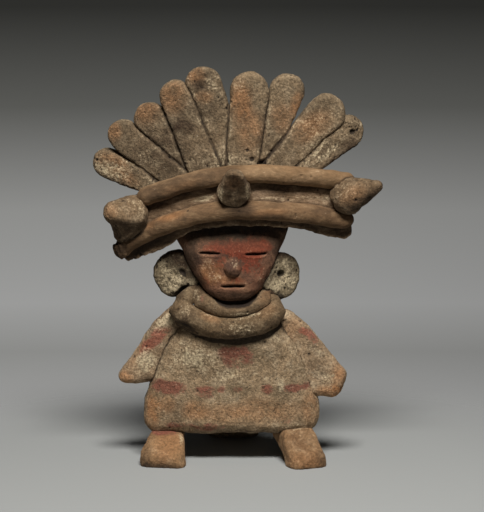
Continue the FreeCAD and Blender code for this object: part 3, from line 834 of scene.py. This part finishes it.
def ear_discs():
    """Two thick pads, pale and pitted, with a hole in the middle, the headdress's shadow painted along the
    top, and darker along the rim.
    """
    material = clay("disc_clay", shade=(0.120, 0.088, 0.050), tone=(0.245, 0.186, 0.108),
                    light=(0.370, 0.295, 0.185), pale=0.35, dark=0.7, seams=0.9, grain=1.2)
    soot = [
        # Painted shadow of the headdress: the first patch on the left disc's top, the third on the right
        # disc's top
        (-24.3, 84.0, 8.0, 5.2, 0, 1.05),
        (-19.5, 78.5, 3.2, 5.5, 0, 0.70),
        (18.0, 84.5, 6.5, 3.2, 0, 0.85),
        (22.0, 78.0, 2.5, 4.0, 0, 0.45),
        (14.0, 78.0, 2.0, 4.0, 0, 0.50),
    ]
    cream = [
        (-26.5, 74.0, 6.5, 7.0, 0, 0.38),
        (15.0, 72.2, 3.5, 3.5, 0, 0.62),
        (19.5, 80.5, 2.5, 2.5, 0, 0.50),
        (21.0, 74.0, 3.5, 5.0, 0, 0.42),
    ]
    for name, hole in (("left_ear_disc", (-21.9, 77.6)), ("right_ear_disc", (17.2, 76.6))):
        disc = Surface(name)
        disc.push(SWELL)
        disc.grit(3.4, 0.22, 25)
        disc.pits(95, 0.60, 0.52, 27)
        disc.crumbs(160, 0.6, 0.12, 28)
        disc.carve(1.1 * fall(disc.reach(*hole), 0.4, 1.9) * ramp(disc.facing, 0.1, 0.6))
        # Darker where the surface turns away from the front, along the rim
        disc.masks["soot"] += 0.55 * fall(disc.facing, 0.2, 0.8)
        disc.paint(soot=soot, cream=cream)
        disc.place(material, "disc_clay")


def shape_outer(collar):
    """Draws the outer collar in at the top, fills out its left end, lifts its left lower side, and paints
    shade on the underside of its left part.
    """
    collar.rightwards(-0.15 * ramp(collar.z, 60.0, 72.0) * (collar.x - FACE_MIDDLE))
    collar.push(0.5 * (ramp(-collar.x, 12.0, 16.0) * ramp(collar.z, 60.0, 66.0)))
    collar.forwards(-0.6)
    lifted = 2.2 * ramp(-collar.x, 4.0, 22.0) - 0.5
    collar.upwards(lifted * collar.front * fall(collar.z, 54.0, 62.0))
    # Painted shade on the underside of the left part
    underside = ramp(-collar.normals[:, 2], 0.2, 0.8) * ramp(-collar.x, 9.0, 20.0)
    collar.relief -= 0.45 * underside
    # Painted highlight: a pale line along the upper edge, where the light falls
    collar.painted_highlight_rim(0.16, 1.2, 0.4, where=collar.z > 57)


def shape_inner(collar):
    """Hollows the inner collar under the chin and paints the chin's shadow into the hollow."""
    aside = collar.x + 1.0
    shade = collar.front * ramp(collar.z - 0.045 * aside**2, 63.6, 65.2)
    collar.forwards(-4.2 * shade * fall(np.abs(aside), 7.0, 11.0))
    collar.relief -= 0.80 * shade * fall(np.abs(aside), 7.0, 10.0)


def collars():
    """Two ropes of clay round the neck, tan with a granular pale patch in front."""
    inner = clay("inner_collar_clay", shade=(0.094, 0.058, 0.030), tone=(0.152, 0.096, 0.050),
                 light=(0.215, 0.148, 0.083), pale=0.25, dark=0.5, seams=0.9, grain=0.9)
    outer = clay("outer_collar_clay", shade=(0.090, 0.057, 0.030), tone=(0.148, 0.094, 0.048),
                 light=(0.218, 0.150, 0.083), pale=0.30, dark=0.5, seams=0.9, grain=0.9)
    cream = [
        (1.0, 56.6, 8.0, 3.5, 0, 0.25),
        (-16.5, 69.5, 3.0, 3.5, 0, 0.20),
        (-21.5, 63.0, 3.0, 2.5, 0, 0.20),
        (0.0, 61.8, 15.0, 1.2, 0, 0.22),
    ]
    ochre = [
        (-10.7, 60.8, 5.0, 2.0, -15, 0.30),
        (12.0, 63.0, 5.0, 3.0, 30, 0.20),
        (12.0, 69.0, 4.0, 2.5, 30, 0.25),
    ]
    red = [
        (-12.7, 68.2, 3.4, 3.4, 0, 0.30),
        (-19.0, 62.0, 3.0, 4.0, 0, 0.12),
    ]
    soot = [
        # The first two are the chin's shadow painted on the inner collar, the third painted shade on the
        # ropes' undersides
        (-1.0, 67.0, 7.0, 2.2, 0, 0.80),
        (-1.0, 65.6, 6.5, 1.7, 0, 0.85),
        (-1.0, 52.6, 17.0, 2.4, 0, 0.60),
        (-22.0, 57.5, 3.0, 4.0, 0, 0.50),
    ]
    for name, material, shape in (
        ("outer_collar", outer, shape_outer),
        ("inner_collar", inner, shape_inner),
    ):
        collar = Surface(name)
        collar.push(SWELL)
        shape(collar)
        collar.grit(3.4, 0.16, 31)
        collar.pits(500, 0.6, 0.40, 33)
        granular = fall(np.hypot((collar.x - 1.0) / 9.0, (collar.z - 56.5) / 4.0), 0.3, 1.2)
        collar.pits(16, 0.5, 0.25, 34, granular)
        collar.crumbs(14, 0.38, 0.10, 35, granular)
        collar.paint(cream=cream, ochre=ochre, red=red, soot=soot)
        collar.place(material, "collar_clay")


def shape_body(slab):
    """A wavy hem, a slight swell of the chest, and painted shadow under the collar above it."""
    hem = fall(slab.z, 11.5, 17.0) * ramp(slab.facing, -0.3, 0.5)
    slab.upwards(0.55 * hem * noise(slab.start, (7, 9, 9), 41))
    chest = ramp(slab.z, 36.0, 50.0) * fall(slab.z, 55.0, 60.0)
    slab.forwards(1.7 * slab.front * chest * fall(np.abs(slab.x + 2.0), 17.0, 28.0))
    shade_edge = 47.7 + 0.0165 * (slab.x + 2.0) ** 2
    # Painted shadow: the chest darkened below the collar's lower edge
    slab.relief -= 0.75 * slab.front * ramp(slab.z - shade_edge, 0.0, 1.6)
    slab.gap += 0.55 * slab.front * ramp(np.abs(slab.x + 1.0), 19.0, 22.0)


def body():
    """The pillow-shaped slab: red bands and patches, ochre below, and cream flecks."""
    material = clay("body_clay", shade=(0.215, 0.148, 0.083), tone=(0.305, 0.208, 0.117),
                    light=(0.390, 0.290, 0.178), pale=0.75, dark=0.90, seams=0.90, grain=1.15)
    red = [
        (0.5, 43.2, 9.0, 5.6, 0, 0.56),
        (-2.0, 46.5, 8.0, 3.0, 0, 0.30),
        (-28.5, 30.6, 10.0, 3.8, 0, 0.72),
        (-14.0, 29.3, 5.6, 3.8, 0, 0.52),
        (-7.0, 30.0, 2.6, 1.8, 0, 0.35),
        (-0.4, 30.1, 3.0, 1.6, 0, 0.40),
        (11.7, 30.1, 3.2, 2.8, 30, 0.55),
        (24.0, 30.6, 7.0, 3.0, 0, 0.48),
        (5.0, 30.6, 30.0, 2.0, 0, 0.14),
        (-12.0, 14.8, 9.0, 2.2, 0, 0.58),
        (19.3, 17.7, 3.2, 2.6, 0, 0.38),
        (-25.6, 15.6, 6.5, 1.8, 0, 0.55),
    ]
    ochre = [
        (-34.3, 21.0, 3.4, 9.0, 0, 0.75),
        (-28.2, 23.6, 4.4, 4.0, 0, 0.55),
        (-17.1, 21.6, 6.2, 4.8, 0, 0.60),
        (-5.0, 20.0, 9.0, 5.0, 0, 0.45),
        (8.5, 21.6, 10.2, 6.0, 0, 0.45),
        (29.3, 22.2, 4.0, 8.0, 0, 0.50),
        (20.0, 21.0, 7.0, 5.0, 0, 0.30),
    ]
    soot = [
        (-24.5, 21.6, 6.4, 4.8, 0, 0.50),
        (24.8, 36.6, 4.5, 4.3, 0, 0.18),
        (-1.0, 12.4, 26.0, 1.5, 0, 0.45),
        (-18.0, 37.0, 5.0, 3.0, 0, 0.25),
        # Painted shadow under the collar
        (-2.0, 51.5, 16.0, 3.0, 0, 0.20),
    ]
    cream = [
        (-16.1, 44.5, 10.5, 7.5, -20, 0.30),
        (-22.0, 40.0, 8.0, 5.0, 0, 0.20),
        (-2.0, 36.2, 10.0, 3.0, 0, 0.24),
        (27.0, 37.6, 2.0, 4.4, 0, 0.20),
        (17.2, 31.4, 1.8, 3.0, 0, 0.40),
        (-33.1, 37.1, 2.4, 5.5, 0, 0.25),
        (18.0, 48.0, 11.0, 2.6, -50, 0.16),
        (33.0, 22.0, 1.6, 8.0, 0, 0.22),
    ]
    slab = Surface("body", BODY_DRAWN)
    slab.push(SWELL)
    shape_body(slab)
    slab.grit(4.0, 0.24, 42)
    slab.pits(450, 0.55, 0.35, 44)
    slab.crumbs(500, 0.55, 0.12, 45, slab.front)
    slab.paint(red=red, ochre=ochre, soot=soot, cream=cream)
    slab.place(material, "body_clay")
    for name in ("neck", "rear_support"):
        piece = Surface(name)
        piece.push(SWELL)
        piece.grit(3.0, 0.20, 45)
        piece.place(material, "body_clay")


def shape_left_arm(arm):
    """A groove along the left arm's joint, and a slightly longer tip."""
    arm.carve(0.34 * arm.front * fall(arm.gap, 0.3, 1.7))
    arm.rightwards(-0.8 * ramp(-arm.x, 41.0, 47.0))


def shape_right_arm(arm):
    """The right arm's joint is nearly closed, its shoulder is lower, and its end is rounder."""
    arm.push(0.25 * fall(arm.gap, 0.2, 1.6))
    arm.upwards(-1.2 * ramp(arm.z, 54.0, 61.0))
    arm.upwards(-1.3 * (hump(arm.x, 38.5, 4.0) * ramp(-arm.z, -31.0, -26.0)))
    arm.gap += 0.35


def arms():
    """Two sleeves with a red slanting band, cream flecks, and orange at the ends."""
    material = clay("arm_clay", shade=(0.240, 0.158, 0.089), tone=(0.350, 0.236, 0.135),
                    light=(0.460, 0.345, 0.218), red=ARM_RED, pale=0.75, dark=0.85, seams=0.55, grain=1.1)
    red = [
        (-31.5, 51.2, 7.0, 3.8, 42, 0.60),
        (-37.0, 45.5, 5.0, 3.4, 50, 0.58),
        (29.9, 51.0, 6.0, 3.6, -45, 0.50),
        (26.0, 53.0, 2.5, 2.0, 0, 0.30),
    ]
    ochre = [
        (-45.7, 33.6, 4.5, 3.4, 0, 0.70),
        (22.2, 54.2, 4.6, 5.0, 0, 0.40),
        (40.8, 33.3, 3.6, 7.5, 0, 0.70),
        (36.9, 28.2, 6.0, 2.8, 0, 0.65),
        (-40.0, 43.0, 2.4, 8.0, -35, 0.35),
    ]
    cream = [
        (-36.5, 40.4, 5.5, 6.0, -25, 0.48),
        (-27.8, 57.4, 7.0, 3.5, 35, 0.45),
        (28.3, 56.1, 6.0, 2.4, -42, 0.26),
        (36.9, 33.1, 3.4, 3.8, 0, 0.26),
        (31.0, 46.0, 6.0, 2.0, -52, 0.15),
        (-25.5, 45.0, 1.4, 7.0, -30, 0.20),
    ]
    soot = [
        # Painted shade along the left arm's lower edge
        (-35.5, 33.4, 8.0, 1.8, 0, 0.55),
        (32.0, 42.0, 5.0, 9.0, 10, 0.30),
        (22.5, 50.0, 3.0, 4.0, 0, 0.22),
    ]
    for name, shape in (("left_arm", shape_left_arm), ("right_arm", shape_right_arm)):
        arm = Surface(name)
        arm.push(SWELL)
        shape(arm)
        arm.grit(3.6, 0.24, 51)
        arm.pits(320, 0.6, 0.40, 53)
        arm.crumbs(260, 0.6, 0.14, 54, arm.front)
        arm.paint(red=red, ochre=ochre, cream=cream, soot=soot)
        arm.place(material, "arm_clay")


def feet():
    """Two flaps of clay, orange tan with dark toes; the left one is narrower on its inner side."""
    material = clay("foot_clay", shade=(0.190, 0.102, 0.047), tone=(0.285, 0.162, 0.075),
                    light=(0.355, 0.225, 0.120), pale=0.20, dark=0.45, seams=0.85, grain=0.9)
    ochre = [
        (-27.5, 8.2, 6.4, 5.3, 0, 0.45),
        (26.9, 3.1, 7.4, 3.5, 0, 0.38),
    ]
    soot = [
        (-30.9, 0.4, 11.0, 1.8, 0, 0.85),
        (34.5, 3.3, 2.6, 5.0, 0, 0.45),
        (26.5, -0.6, 8.4, 1.6, 0, 0.60),
        (-37.0, 4.0, 2.6, 5.0, 0, 0.65),
        (28.0, 9.0, 9.0, 8.0, 0, 0.12),
    ]
    cream = [
        (-21.9, 11.5, 1.8, 4.0, 0, 0.30),
        (25.3, 14.4, 5.6, 1.6, 0, 0.40),
    ]
    for name in ("left_foot", "right_foot"):
        foot = Surface(name, rounding=3)
        foot.push(SWELL)
        if name == "left_foot":
            foot.rightwards(-1.1 * ramp(foot.x, -26.0, -19.0))
        foot.grit(3.6, 0.20, 61)
        foot.pits(700, 0.55, 0.35, 63)
        foot.paint(red=[(-29.8, 12.4, 7.0, 2.0, 0, 0.75)], all_round=True)
        foot.paint(ochre=ochre, soot=soot, cream=cream)
        foot.place(material, "foot_clay")


def made_camera():
    """The camera at the photograph's viewing angle, with a long lens."""
    data = bpy.data.cameras.new("camera")
    data.sensor_width = SENSOR
    data.lens = SENSOR * CAMERA_DISTANCE / (IMAGE_HEIGHT * PIXEL_SIZE)
    camera = bpy.data.objects.new("camera", data)
    bpy.context.scene.collection.objects.link(camera)
    elevation = math.radians(CAMERA_ELEVATION)
    back = Vector((0, -math.cos(elevation), math.sin(elevation)))
    camera.location = (Vector(AIM) + back * CAMERA_DISTANCE) / METRE
    camera.rotation_mode = "QUATERNION"
    camera.rotation_quaternion = (-back).to_track_quat("-Z", "Y")
    bpy.context.scene.camera = camera


def made_lamp(name, place, size, power):
    """A softbox at a place, turned to the figure."""
    data = bpy.data.lights.new(name, "AREA")
    data.shape = "RECTANGLE"
    data.size, data.size_y = size
    data.energy = power
    lamp = bpy.data.objects.new(name, data)
    bpy.context.scene.collection.objects.link(lamp)
    lamp.location = place
    lamp.rotation_mode = "QUATERNION"
    lamp.rotation_quaternion = (Vector(LIT_PLACE) - Vector(place)).to_track_quat("-Z", "Y")


def made_floor():
    """A round pale table top that fades into the backdrop's grey."""
    mesh = bpy.data.meshes.new("floor")
    made = bmesh.new()
    bmesh.ops.create_circle(made, cap_ends=True, segments=96, radius=FLOOR_RADIUS)
    made.to_mesh(mesh)
    made.free()
    floor = bpy.data.objects.new("floor", mesh)
    bpy.context.scene.collection.objects.link(floor)
    material, painter = made_material("floor")
    shader = painter.tree.nodes["Principled BSDF"]
    painter.feed(shader.inputs["Base Color"], FLOOR_COLOUR)
    painter.feed(shader.inputs["Roughness"], ROUGHNESS)
    reach = painter.node("ShaderNodeVectorMath", {"operation": "DISTANCE"}, Vector=painter.coordinates())
    painter.feed(reach.inputs[1], FADE_MIDDLE)
    fade = painter.ramp(reach.outputs["Value"], FADE_START, FADE_END)
    clear = painter.node("ShaderNodeBsdfTransparent").outputs["BSDF"]
    faded = painter.mix_shaders(fade, shader.outputs["BSDF"], clear)
    painter.feed(painter.tree.nodes["Material Output"].inputs["Surface"], faded)
    mesh.materials.append(material)


def made_world():
    """A grey backdrop, seen only, with the fall-off of light painted on it as greys that darken upwards and
    to the right, and a weak even light.
    """
    world = bpy.data.worlds.new("studio")
    bpy.context.scene.world = world
    world.use_nodes = True
    world.node_tree.nodes.clear()
    painter = Painter(world.node_tree)
    split = painter.node("ShaderNodeSeparateXYZ", Vector=painter.coordinates("Generated"))
    height = painter.ramp(split.outputs["Z"], BACKDROP_BOTTOM, BACKDROP_TOP, kind="LINEAR")
    strength = painter.ramp(
        split.outputs["X"], BACKDROP_LEFT, BACKDROP_RIGHT, LEFT_STRENGTH, RIGHT_STRENGTH, kind="LINEAR"
    )
    grey = painter.node("ShaderNodeValToRGB", Fac=height)
    stops = grey.color_ramp.elements
    stops.remove(stops[1])
    for index, (share, value) in enumerate(BACKDROP_GREYS):
        stop = stops[0] if index == 0 else stops.new(share)
        stop.position = share
        stop.color = (value, value, value * (0.90 + 0.25 * value), 1)
    shown = painter.node("ShaderNodeBackground", Color=grey.outputs["Color"], Strength=strength)
    lit = painter.node("ShaderNodeBackground", Color=EVEN_GREY, Strength=EVEN_STRENGTH)
    seen = painter.node("ShaderNodeLightPath").outputs["Is Camera Ray"]
    mixed = painter.mix_shaders(seen, lit.outputs["Background"], shown.outputs["Background"])
    painter.node("ShaderNodeOutputWorld", Surface=mixed)


feathers()
coils()
headband()
studs()
head_and_nose()
ear_discs()
collars()
body()
arms()
feet()
made_camera()
made_floor()
made_world()
made_lamp("key", place=(0.03, -0.46, 0.74), size=(0.36, 0.20), power=9.8)
made_lamp("fill", place=(0.25, -1.1, 0.30), size=(0.8, 0.8), power=0.4)
bpy.context.scene.view_settings.view_transform = "Standard"
